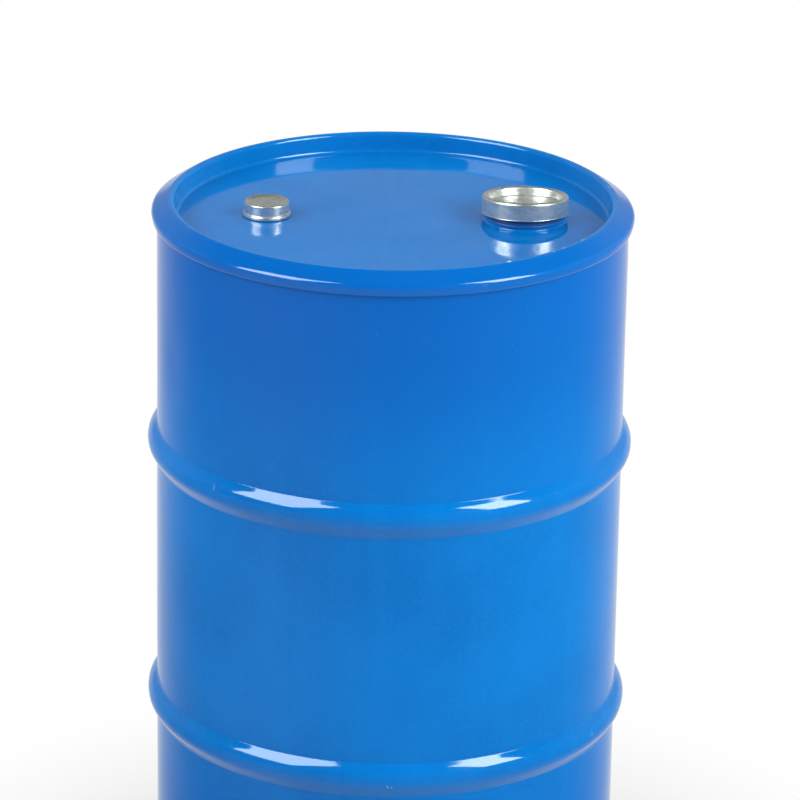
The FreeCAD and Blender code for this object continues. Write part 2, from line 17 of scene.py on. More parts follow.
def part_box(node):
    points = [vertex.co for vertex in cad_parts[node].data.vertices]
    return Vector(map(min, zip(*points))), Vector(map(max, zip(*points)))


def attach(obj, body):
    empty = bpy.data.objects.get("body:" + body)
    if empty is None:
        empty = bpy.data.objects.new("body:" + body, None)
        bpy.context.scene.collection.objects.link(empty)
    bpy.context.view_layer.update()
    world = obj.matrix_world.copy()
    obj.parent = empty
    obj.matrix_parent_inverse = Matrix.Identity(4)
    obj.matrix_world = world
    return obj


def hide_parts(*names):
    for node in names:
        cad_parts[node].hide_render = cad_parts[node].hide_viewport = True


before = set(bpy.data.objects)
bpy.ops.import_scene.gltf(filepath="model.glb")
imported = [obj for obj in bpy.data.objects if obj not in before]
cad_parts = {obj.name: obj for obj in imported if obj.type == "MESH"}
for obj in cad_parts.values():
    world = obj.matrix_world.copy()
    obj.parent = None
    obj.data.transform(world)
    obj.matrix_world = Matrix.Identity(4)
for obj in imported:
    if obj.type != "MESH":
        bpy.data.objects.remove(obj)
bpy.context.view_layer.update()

MM = 0.001
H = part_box("top_head")[1].z / MM            # crest of the top chime
DEPTH = 16.1                                # crest of a chime to the face of its head
FACE = H - DEPTH                            # face of the top head
BUNG_X = sum(p.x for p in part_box("bung_plug")) / 2 / MM
VENT_X = sum(p.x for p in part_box("vent_plug")) / 2 / MM

SHELL_HALF = 0.45                           # half the thickness of each sheet
HEAD_HALF = 0.5
SEAL_HALF = 0.2
PLATE = FACE - HEAD_HALF                    # mid line of the top head's flat

HOOPS = (207.6, 431.4)                      # heights of the two rolled hoops
SHELL_R = 191.0                             # radius used to size the dents
CHIME_INSET = 2.05                          # outside of the chime to the shell's mid line
HOOK_R, HOOK_DEPTH = 179.25, 12.6           # cut edge of the shell, inside each chime
WELD = math.pi / 2                          # direction of the side weld
WELD_HALF = math.radians(2.6) / 2           # half its width, as an angle

CORNER_R = 3.5                              # bend between a head's flat and its wall
FLAT_R = 165.0                              # the top head is triangulated inside this radius
PLATE_R = 172.0                             # the heads are lifted inside this radius
NECK_TOP = 3.2                              # height of a neck above the face
NECK_BEND = 1.8                             # bend at the foot of a neck
NECK_REACH = 5.5                            # inside of a neck to the edge of its foot

# x, inside radius of the neck, radius kept flat around it, steps round it
OPENINGS = ((BUNG_X, 31.75, 36.0, 120), (VENT_X, 15.05, 20.0, 84))

# outside of a chime: r, depth below the crest, bend radius
CHIME = ((190.9, 14.2, 4.5), (191.5, 11.1, 4.5), (181.4, 3.0, 3.0), (180.2, 3.0, 3.0))

# plain bands of the shell: bottom, top, phase of their waves
BANDS = ((24, HOOPS[0] - 19, 0.4), (HOOPS[0] + 19, HOOPS[1] - 19, 2.2), (HOOPS[1] + 19, H - 24, 4.1))
# waves in those bands: height, count round the drum, phase per mm of z, share of the band's phase
BAND_WAVES = ((0.10, 3, 0.006, 1), (0.07, 7, -0.013, 1), (0.045, 12, 0.031, 2),
              (0.03, 19, -0.045, 1))
# shallow handling dents: direction in degrees, z, depth, half width, half height
DENTS = ((-62, 330, 0.30, 30, 20), (-128, 150, 0.35, 26, 32), (28, 505, 0.40, 22, 18),
         (143, 300, 0.75, 30, 26), (205, 520, 0.50, 18, 30), (-20, 112, 0.55, 24, 16),
         (70, 268, 0.45, 14, 22))


# ------------------------------------------------------------ sheet profiles
HEADINGS = {"out": (1.0, 0.0), "down": (0.0, -1.0)}


def tangent_point(arc, normal):
    """Where a straight run with this left-hand normal touches the arc."""
    x, y, radius, turn = arc
    return x - normal[0] * radius * turn, y - normal[1] * radius * turn


def end_run(run, offset, arc):
    """The free end of a straight run, and the point where the run meets its arc."""
    x, y, heading = run
    along = HEADINGS[heading]
    normal = (-along[1], along[0])
    return (x + normal[0] * offset, y + normal[1] * offset), tangent_point(arc, normal)


def arc_points(arc, entry, leave, arc_step):
    """Points along an arc, no more than arc_step degrees apart."""
    x, y, radius, turn = arc
    first = math.atan2(entry[1] - y, entry[0] - x)
    last = math.atan2(leave[1] - y, leave[0] - x)
    if turn > 0:
        while last < first - 1e-9:
            last += 2 * math.pi
    else:
        while last > first + 1e-9:
            last -= 2 * math.pi
    count = max(2, int(math.ceil(abs(math.degrees(last - first)) / arc_step)) + 1)
    angles = [first + (last - first) * k / (count - 1) for k in range(count)]
    return [(x + radius * math.cos(a), y + radius * math.sin(a)) for a in angles]


def side_path(bends, offset, start, end, arc_step, straight):
    """One side of a bent sheet, as (r, z) points.

    bends: (r, z, radius, turn) on the mid line, turn +1 to the left and -1 to the right
    offset: from the mid line to this side, to the left
    start: (r, z, heading) of the first point
    end: the same for the last point, or the angle on the last bend where the sheet stops
    arc_step: widest step on a bend, in degrees
    straight: length above which a straight run is cut
    """
    arcs = [(x, y, radius - offset * turn, turn) for x, y, radius, turn in bends]
    first, entry = end_run(start, offset, arcs[0])
    entries, exits = [entry], []
    for here, after in zip(arcs, arcs[1:]):
        x, y = after[0] - here[0], after[1] - here[1]
        lean = (after[2] * after[3] - here[2] * here[3]) / math.hypot(x, y)
        heading = math.atan2(y, x) - math.asin(max(-1, min(1, lean)))
        normal = (-math.sin(heading), math.cos(heading))
        exits.append(tangent_point(here, normal))
        entries.append(tangent_point(after, normal))
    tail = []
    if isinstance(end, tuple):
        last, leave = end_run(end, offset, arcs[-1])
        tail.append(last)
    else:
        x, y, radius, _ = arcs[-1]
        angle = math.radians(end)
        leave = (x + radius * math.cos(angle), y + radius * math.sin(angle))
    exits.append(leave)
    points = []
    for arc, entry, leave in zip(arcs, entries, exits):
        points += arc_points(arc, entry, leave, arc_step)
    path = [first]
    for point in points + tail:
        base = path[-1]
        gap = math.hypot(point[0] - base[0], point[1] - base[1])
        if gap < 1e-4:
            continue
        cuts = int(gap // straight)
        for k in range(1, cuts + 1):
            share = k / (cuts + 1)
            path.append((base[0] + (point[0] - base[0]) * share,
                         base[1] + (point[1] - base[1]) * share))
        path.append(point)
    return path


def level(depth, top):
    """Height of a point this deep inside the top or the bottom crest."""
    return H - depth if top else depth


def chime(inset, top):
    return [(r, level(depth, top), radius - inset, 1) for r, depth, radius in CHIME]


def hoop(z):
    return [(192.6, z - 16.4, 1.65, -1), (185.0, z, 13.55, 1), (192.6, z + 13.6, 1.65, -1)]


def shell_end(top):
    return [(191.75, level(17.6, top), 0.8, -1)] + chime(CHIME_INSET, top)


def head_bends(top):
    turn = 1 if top else -1
    corner = (173.7, level(DEPTH + HEAD_HALF - CORNER_R, top), CORNER_R, turn)
    return [corner] + [(r, z, radius, -turn) for r, z, radius, _ in chime(HEAD_HALF, top)[::-1]]


# -------------------------------------------------------------- mesh helpers
def smooth(x):
    x = np.clip(x, 0.0, 1.0)
    return x * x * (3 - 2 * x)


def even(count):
    return np.arange(count) * (2 * math.pi / count)


def ripple(angle, mean, waves):
    """Unevenness round the axis; waves are (height, count, phase)."""
    return mean + sum(height * np.sin(count * angle + phase) for height, count, phase in waves)


def push_out(verts, angle, distance):
    verts[:, 0] += distance * np.cos(angle)
    verts[:, 1] += distance * np.sin(angle)


def new_object(name, verts, faces):
    mesh = bpy.data.meshes.new(name)
    mesh.from_pydata([tuple(v) for v in verts], [], faces)
    mesh.update()
    obj = bpy.data.objects.new(name, mesh)
    bpy.context.scene.collection.objects.link(obj)
    return obj


def finish_mesh(obj, hard_angle):
    """Outward faces, smooth shading, and hard edges where the sheet is cut."""
    bm = bmesh.new()
    bm.from_mesh(obj.data)
    bmesh.ops.remove_doubles(bm, verts=bm.verts, dist=2e-7)
    bmesh.ops.dissolve_degenerate(bm, edges=bm.edges, dist=1e-7)
    bmesh.ops.recalc_face_normals(bm, faces=bm.faces)
    for face in bm.faces:
        face.smooth = True
    for edge in bm.edges:
        if len(edge.link_faces) == 2 and edge.calc_face_angle(0.0) > math.radians(hard_angle):
            edge.smooth = False
    bm.to_mesh(obj.data)
    bm.free()
    obj.data.update()
    return obj


def lathe(loop, angles, closed=True, centre_x=0.0):
    """Vertices, faces and the loop index of every vertex, for a turned section."""
    verts, index, faces, rings = [], [], [], []
    count = len(angles)
    cos, sin = np.cos(angles), np.sin(angles)
    for k, (r, z) in enumerate(loop):
        if r < 1e-6:
            rings.append([len(verts)] * count)
            verts.append((centre_x, 0.0, z))
            index.append(k)
        else:
            rings.append(list(range(len(verts), len(verts) + count)))
            verts.extend(zip(centre_x + r * cos, r * sin, [z] * count))
            index.extend([k] * count)
    pairs = list(zip(rings, rings[1:]))
    if closed:
        pairs.append((rings[-1], rings[0]))
    for ring, after in pairs:
        for i in range(count):
            j = (i + 1) % count
            # a ring on the axis is a single point, so its quads become triangles
            corners = list(dict.fromkeys((ring[i], ring[j], after[j], after[i])))
            if len(corners) >= 3:
                faces.append(corners)
    return np.array(verts, float), faces, np.array(index)


# ----------------------------------------------------------------- the shell
def shell_angles():
    """Even steps, with finer ones across the weld."""
    steps = [a for a in even(232) if abs(a - WELD) > WELD_HALF * 1.9]
    for share in (0.18, 0.5, 0.78, 0.94, 1.08, 1.25, 1.7):
        steps += [WELD - WELD_HALF * share, WELD + WELD_HALF * share]
    return np.array(sorted(steps))


def shell_relief(angle, z, outside):
    """How far each vertex of the shell moves outwards."""
    shift = np.zeros(len(z))
    # slow waves in the plain bands: the sheet is never a perfect tube
    for low, high, phase in BANDS:
        fade = smooth((z - low) / 26) * smooth((high - z) / 26)
        shift += fade * sum(height * np.sin(count * angle + rate * z + share * phase)
                            for height, count, rate, share in BAND_WAVES)
    for direction, height, depth, wide, tall in DENTS:
        turn = (np.degrees(angle) - direction + 180) % 360 - 180
        across = turn * math.radians(1) * SHELL_R / wide
        shift -= depth * np.exp(-across ** 2 - ((z - height) / tall) ** 2)
    # the rolled hoops are slightly uneven
    for height in HOOPS:
        near = np.exp(-((z - height) / 8.0) ** 2)
        shift += near * ripple(angle, mean=-0.05, waves=(
            (0.05, 9, height), (0.035, 21, 0.7), (0.02, 47, 1.9)))
    # both ends stay true where they enter the chimes
    mask = smooth((z - 21.5) / 5) * smooth((H - 21.5 - z) / 5)
    shift *= mask
    # the flattened weld stands a little proud of the outside, between two shallow grooves
    off = np.abs((angle - WELD) / WELD_HALF)
    bead = 0.25 * smooth((1.14 - off) / 0.26)
    uneven = 0.86 + 0.14 * np.sin(z * 2.4) * np.sin(z * 0.37 + 1)
    groove = 0.07 * np.exp(-((off - 1.45) / 0.3) ** 2)
    return shift + np.where(outside, (bead * uneven - groove) * mask, 0.0)


def build_shell():
    bends = (shell_end(top=False)[::-1] + hoop(HOOPS[0]) + hoop(HOOPS[1]) + shell_end(top=True))
    start = (HOOK_R, HOOK_DEPTH, "down")
    end = (HOOK_R, H - HOOK_DEPTH, "down")
    outer = side_path(bends, -SHELL_HALF, start, end, arc_step=9.0, straight=7.5)
    inner = side_path(bends, SHELL_HALF, start, end, arc_step=15.0, straight=22.0)
    skin = np.array([0] * len(outer) + [1] * len(inner))
    verts, faces, index = lathe(outer + inner[::-1], shell_angles())
    skin = skin[index]
    angle = np.arctan2(verts[:, 1], verts[:, 0])
    push_out(verts, angle, shell_relief(angle, verts[:, 2], skin == 0))
    obj = new_object("shell_skin", verts * MM, faces)
    # 0 on the outside of the sheet, 1 on the inside
    tags = obj.data.attributes.new("skin", "FLOAT", "POINT")
    tags.data.foreach_set("value", skin.astype(np.float32))
    return finish_mesh(obj, hard_angle=38.0)


# ----------------------------------------------------------------- the heads
def plate_waves(x, y):
    """Oil-canning of the flat of a head; it dies out towards the corner."""
    edge = smooth((171.5 - np.hypot(x, y)) / 45)
    return edge * (0.22 * np.cos(x * 0.021 + 0.6) * np.cos(y * 0.024 - 0.5)
                   + 0.10 * np.sin(x * 0.047 + y * 0.031 + 1.1)
                   + 0.05 * np.sin(y * 0.083 - x * 0.062 + 0.4) - 0.05)


def top_plate_lift(x, y):
    """The top head's waves, calmed round the openings, with two stress lines."""
    lift = plate_waves(x, y)
    for centre, _, calm_radius, _ in OPENINGS:
        lift = lift * smooth((np.hypot(x - centre, y) - calm_radius) / 16)
    # the shallow lines run out from the vent: side, distance where it ends, slope
    for side, reach, slope in ((-1, 50.0, 0.06), (1, 62.0, 0.16)):
        along = (x - VENT_X) * side
        across = y - 2.0 - slope * (along - 20.0)
        fade = smooth((along - 21.0) / 5) * smooth((reach - along) / 22)
        lift -= 0.22 * fade * np.exp(-(across / 2.6) ** 2)
    return lift


def bend_head(verts, on_plate, lift, mean, waves):
    """Lifts the flat of a head and makes its chime uneven."""
    radius = np.hypot(verts[:, 0], verts[:, 1])
    angle = np.arctan2(verts[:, 1], verts[:, 0])
    verts[:, 2] += np.where(on_plate & (radius < PLATE_R), lift, 0.0)
    push_out(verts, angle, smooth((radius - 176.6) / 5) * ripple(angle, mean, waves))


def flat_between(rings):
    """Triangulates the flat inside the first ring and outside the others.

    rings are (x, radius, steps), all centred on y = 0.
    """
    points, edges = [], []
    for centre, radius, steps in rings:
        first = len(points)
        points += [(centre + radius * math.cos(a), radius * math.sin(a)) for a in even(steps)]
        edges += [(first + i, first + (i + 1) % steps) for i in range(steps)]
    rim, holes = rings[0][1], rings[1:]
    pitch = 4.6                             # triangular grid of inner points
    rows = int(rim / (pitch * 0.866)) + 2
    for j in range(-rows, rows + 1):
        y = j * pitch * 0.866
        for i in range(-rows - 4, rows + 5):
            x = (i + (0.5 if j % 2 else 0.0)) * pitch
            if math.hypot(x, y) > rim - 2.6:
                continue
            if any(math.hypot(x - centre, y) < radius + 1.7 for centre, radius, _ in holes):
                continue
            points.append((x, y))
    flat = geometry.delaunay_2d_cdt([Vector(p) for p in points], edges, [], 0, 1e-5)
    verts, triangles = flat[0], flat[2]
    kept = []
    for triangle in triangles:
        x = sum(verts[i].x for i in triangle) / len(triangle)
        y = sum(verts[i].y for i in triangle) / len(triangle)
        in_hole = any(math.hypot(x - centre, y) < radius * math.cos(math.pi / steps) - 1e-3
                      for centre, radius, steps in holes)
        if math.hypot(x, y) <= rim and not in_hole:
            kept.append(list(triangle))
    return verts, kept


def build_neck(centre, inside, steps):
    """The raised neck round an opening, and the outer radius of its foot."""
    middle, reach = inside + HEAD_HALF, inside + NECK_REACH
    bends = [(middle + NECK_BEND, PLATE + NECK_BEND, NECK_BEND, 1)]
    start, end = (middle, FACE + NECK_TOP, "down"), (reach, PLATE, "out")
    outer = side_path(bends, HEAD_HALF, start, end, arc_step=9.0, straight=3.0)
    inner = side_path(bends, -HEAD_HALF, start, end, arc_step=9.0, straight=3.0)
    return lathe(outer[::-1] + inner, even(steps), closed=False, centre_x=centre), reach


def build_top_head():
    steps = 240
    bends, start, end = head_bends(top=True), (FLAT_R, PLATE, "out"), -77.0
    upper = side_path(bends, HEAD_HALF, start, end, arc_step=9.0, straight=3.2)
    lower = side_path(bends, -HEAD_HALF, start, end, arc_step=13.0, straight=6.0)
    parts = [lathe(upper + lower[::-1], even(steps), closed=False)[:2]]
    rings = [(0.0, FLAT_R, steps)]
    for centre, inside, _, count in OPENINGS:
        neck, reach = build_neck(centre, inside, count)
        parts.append(neck[:2])
        rings.append((centre, reach, count))
    points, triangles = flat_between(rings)
    for height in (PLATE + HEAD_HALF, PLATE - HEAD_HALF):
        parts.append((np.array([(p.x, p.y, height) for p in points], float), triangles))
    verts, faces, count = [], [], 0
    for part_verts, part_faces in parts:
        verts.append(part_verts)
        faces += [[i + count for i in face] for face in part_faces]
        count += len(part_verts)
    verts = np.vstack(verts)
    bend_head(verts, on_plate=verts[:, 2] < PLATE + 6.0,
              lift=top_plate_lift(verts[:, 0], verts[:, 1]),
              mean=-0.04, waves=((0.04, 11, 0.5), (0.03, 29, 2.0)))
    return finish_mesh(new_object("top_head_skin", verts * MM, faces), hard_angle=50.0)


def build_bottom_head():
    bends, start, end = head_bends(top=False), (0.0, DEPTH + HEAD_HALF, "out"), 77.0
    upper = side_path(bends, HEAD_HALF, start, end, arc_step=10.0, straight=6.0)
    lower = side_path(bends, -HEAD_HALF, start, end, arc_step=10.0, straight=6.0)
    verts, faces, _ = lathe(upper + lower[::-1], even(240))
    bend_head(verts, on_plate=verts[:, 2] > 9.0,
              lift=plate_waves(verts[:, 0] + 20, -verts[:, 1]),
              mean=-0.05, waves=((0.05, 13, 1.5), (0.03, 31, 2.6)))
    return finish_mesh(new_object("bottom_head_skin", verts * MM, faces), hard_angle=50.0)


# ------------------------------------------------------------- the cap seals
def build_seal(name, centre, bends, dish_level, end, dimple, marks, tilt=0.0, lift=0.0):
    """A pressed cap; heights are above the head's face.

    marks is the number of crimping jaws; tilt (degrees, about X) and lift set the cap askew.
    """
    start = (0.0, dish_level, "out")
    upper = side_path(bends, SEAL_HALF, start, end, arc_step=8.0, straight=1.6)
    lower = side_path(bends, -SEAL_HALF, start, end, arc_step=12.0, straight=3.0)
    verts, faces, _ = lathe(upper + lower[::-1], even(168))
    radius = np.hypot(verts[:, 0], verts[:, 1])
    angle = np.arctan2(verts[:, 1], verts[:, 0])
    z = verts[:, 2]                         # a view: it follows the changes below
    skirt = bends[-1][0] - 3.0
    # a pressed dimple in the middle of the dish and soft rings round it
    z += dimple * np.exp(-(radius / 1.9) ** 2)
    dish = smooth((skirt * 0.72 - radius) / 4)
    z += (0.05 * dish * np.cos(radius * 1.15)
          + 0.04 * dish * np.sin(2 * angle + 0.7) * radius / skirt)
    # the skirt is crimped in by a ring of jaws, which leaves it slightly uneven
    low = smooth((bends[1][1] - 1.5 - z) / 5) * smooth((radius - skirt * 0.85) / 2)
    shift = -0.07 * low * (0.5 + 0.5 * np.cos(marks * angle)) ** 3
    shift += 0.05 * np.sin(3 * angle + 0.4) * smooth((radius - skirt * 0.7) / 6)
    shift += 0.02 * np.sin(17 * angle + 1.0) * low
    push_out(verts, angle, shift)
    verts[:, 0] += centre
    # tilt about a line just above the face
    pivot, lean = 1.0, math.radians(tilt)
    y, height = verts[:, 1].copy(), z - pivot
    verts[:, 1] = y * math.cos(lean) + height * math.sin(lean)
    verts[:, 2] = -y * math.sin(lean) + height * math.cos(lean) + pivot + lift + FACE
    return finish_mesh(new_object(name, verts * MM, faces), hard_angle=50.0)


shell = build_shell()
top_head = build_top_head()
bottom_head = build_bottom_head()
bung_seal = build_seal(
    "bung_cap_seal_pressed", BUNG_X,
    bends=[(28.0, 10.0, 1.2, 1), (32.75, 13.1, 2.3, -1), (35.75, 1.6, 0.7, 1)],
    dish_level=8.8, end=235.0, dimple=0.35, marks=24, tilt=5.6, lift=4.9)
vent_seal = build_seal(
    "vent_cap_seal_pressed", VENT_X,
    bends=[(13.6, 11.7, 0.8, 1), (16.75, 11.0, 1.3, -1), (18.95, 4.2, 0.9, 1),
           (18.45, 2.3, 0.9, -1)],
    dish_level=10.9, end=(19.35, 0.8, "down"), dimple=0.45, marks=16)

# object, what it rides, the piece it replaces, its paint slot
for obj, carrier, piece, paint_slot in (
        (shell, "drum", "body_shell", "drum_paint"),
        (top_head, "drum", "top_head", "drum_paint"),
        (bottom_head, "drum", "bottom_head", "drum_paint"),
        (bung_seal, "bung_seal", "bung_cap_seal", "seal_tinplate"),
        (vent_seal, "vent_seal", "vent_cap_seal", "seal_tinplate")):
    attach(obj, carrier)
    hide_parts(piece)


# --------------------------------------------------------------- node graphs
class Graph:
    """Shorthand for building the nodes of a material or a world."""

    def __init__(self, owner):
        owner.use_nodes = True
        self.owner = owner
        self.tree = owner.node_tree
        self.tree.nodes.clear()

    def put(self, socket, value):
        if hasattr(value, "is_output"):
            self.tree.links.new(value, socket)
        elif isinstance(value, tuple) and len(value) == 3 and len(socket.default_value) == 4:
            socket.default_value = (*value, 1.0)
        else:
            socket.default_value = value

    def node(self, kind, inputs=None, **settings):
        """A node with its settings; inputs maps socket names or numbers to values."""
        node = self.tree.nodes.new("ShaderNode" + kind)
        for key, value in settings.items():
            setattr(node, key, value)
        for key, value in (inputs or {}).items():
            self.put(node.inputs[key], value)
        return node

    @functools.cached_property
    def coord(self):
        return self.node("TexCoord").outputs["Object"]

    def math(self, operation, a, b=0.0, clamp=False):
        return self.node("Math", {0: a, 1: b}, operation=operation, use_clamp=clamp).outputs[0]

    def plus(self, a, b):
        return self.math("ADD", a, b)

    def minus(self, a, b):
        return self.math("SUBTRACT", a, b)

    def times(self, a, b):
        return self.math("MULTIPLY", a, b)

    def blend(self, a, b, share):
        return self.plus(self.times(a, self.minus(1.0, share)), self.times(b, share))

    def ramp(self, value, span, to=(0.0, 1.0), kind="SMOOTHSTEP"):
        """Carries the span of the value onto the range `to`."""
        inputs = dict(enumerate((value, *span, *to)))
        return self.node("MapRange", inputs, interpolation_type=kind).outputs[0]

    def place(self, scale=(1, 1, 1), move=(0, 0, 0)):
        inputs = {"Vector": self.coord, "Location": move, "Scale": scale}
        return self.node("Mapping", inputs).outputs[0]

    def axes(self, source=None):
        return self.node("SeparateXYZ", {0: source or self.coord}).outputs

    def radius(self, x, y):
        return self.math("SQRT", self.plus(self.times(x, x), self.times(y, y)))

    def around(self, centre):
        """Radius, x, y and z about a vertical axis at this x (mm)."""
        x, y, z = self.axes(self.place(move=(-centre * MM, 0, 0)))
        return self.radius(x, y), x, y, z

    def join(self, x, y, z):
        return self.node("CombineXYZ", {0: x, 1: y, 2: z}).outputs[0]

    def noise(self, scale, detail=2.0, rough=0.5, vector=None, distortion=0.0):
        inputs = {"Vector": vector or self.coord, "Scale": scale, "Detail": detail,
                  "Roughness": rough, "Distortion": distortion}
        return self.node("TexNoise", inputs).outputs[0]

    def cells(self, scale, vector=None, feature="F1"):
        inputs = {"Vector": vector or self.coord, "Scale": scale}
        return self.node("TexVoronoi", inputs, feature=feature).outputs

    def red(self, colour):
        return self.node("SeparateColor", {0: colour}).outputs[0]

    def specks(self, scale, size, share):
        """Small round dots in a share of the cells of a random grid."""
        cells = self.cells(scale)
        near = self.ramp(cells["Distance"], span=(size * 0.55, size), to=(1.0, 0.0))
        return self.times(near, self.math("LESS_THAN", self.red(cells["Color"]), share))

    def mix(self, share, a, b):
        return self.node("Mix", {0: share, 6: a, 7: b}, data_type="RGBA").outputs[2]

    def bump(self, height, distance, strength, normal=None):
        inputs = {"Strength": strength, "Distance": distance, "Height": height}
        if normal is not None:
            inputs["Normal"] = normal
        return self.node("Bump", inputs).outputs[0]

    def finish(self, socket, kind="OutputMaterial"):
        self.node(kind, {"Surface": socket})
        return self.owner

    def principled(self, **values):
        """Closes the material with a principled shader."""
        inputs = {key.replace("_", " "): value for key, value in values.items()}
        return self.finish(self.node("BsdfPrincipled", inputs).outputs[0])


def new_material(name):
    return Graph(bpy.data.materials.new(name))


# ----------------------------------------------------------------- materials
BLUE = (0.0008, 0.116, 0.408)
BLUE_DEEP = (0.0006, 0.098, 0.358)
BLUE_PALE = (0.0030, 0.146, 0.455)
# painted shade, used below the chimes and on the rolled edges
BLUE_PAINTED_SHADE = (0.0006, 0.076, 0.330)
BLUE_SEAM = (0.004, 0.070, 0.265)
DUST = (0.20, 0.34, 0.56)
PINHOLE = (0.30, 0.48, 0.72)
PRIMER = (0.30, 0.33, 0.36)
STEEL = (0.46, 0.46, 0.47)
# painted highlight: a small pale spot near the front right of the top head's chime
PAINTED_GLINT = (0.62, 0.66, 0.70)
PAINTED_GLINT_AT = (0.0912, -0.1548, (H - 0.4) * MM)    # metres
PAINTED_GLINT_SQUEEZE = (1.0, 1.15, 0.2)                # makes the painted glint oval and ignores most of z
BARE = (0.672, 0.700)                           # span of the knocks that reach bare steel

# overspray on the fittings, darker than the enamel: partly real overspray, partly painted shade for
# the shadowed gap round the fittings
SPRAY_AND_SHADE_FLANGE = (0.0008, 0.075, 0.30)
SPRAY_AND_SHADE_PLUG = (0.0010, 0.026, 0.120)
SPRAY_AND_SHADE_GASKET = (0.0010, 0.034, 0.150)


def film_colour(g, radius, angle, z, fine):
    """Slow change of film thickness, fine mottle and long wipes."""
    slow = g.noise(scale=7.0, detail=3.0, rough=0.55)
    colour = g.mix(g.ramp(slow, span=(0.36, 0.66)), BLUE_DEEP, BLUE)
    colour = g.mix(g.ramp(fine, span=(0.38, 0.72), to=(0.0, 0.34)), colour, BLUE_PALE)
    wipe = g.noise(scale=1.0, detail=3.0, rough=0.6,
                   vector=g.join(g.times(angle, 9.0), g.times(z, 3.0), radius))
    return g.mix(g.ramp(wipe, span=(0.45, 0.75), to=(0.0, 0.22)), colour, BLUE_PALE)


def add_painted_glint(g, colour):
    """A painted highlight: a small pale spot on the top head, near the front right of the chime."""
    centre = tuple(at * squeeze for at, squeeze in zip(PAINTED_GLINT_AT, PAINTED_GLINT_SQUEEZE))
    squeezed = g.node("VectorMath", {0: g.coord, 1: PAINTED_GLINT_SQUEEZE}, operation="MULTIPLY")
    distance = g.node("VectorMath", {0: squeezed.outputs[0], 1: centre}, operation="DISTANCE")
    wobble = g.times(g.minus(g.noise(scale=420.0), 0.5), 0.0022)
    glint = g.ramp(g.plus(distance.outputs["Value"], wobble), span=(0.0016, 0.0024), to=(1.0, 0.0))
    return g.mix(g.times(glint, 0.9), colour, PAINTED_GLINT)


def hair_scratches(g):
    """Fine scratches that only break the gloss."""
    cells = g.cells(34.0, g.place(scale=(1.0, 1.0, 0.16), move=(0.3, 0.1, 0.0)),
                    "DISTANCE_TO_EDGE")
    lines = g.ramp(cells["Distance"], span=(0.0, 0.006), to=(1.0, 0.0))
    return g.times(lines, g.ramp(g.noise(scale=21.0, detail=1.0), span=(0.52, 0.62)))


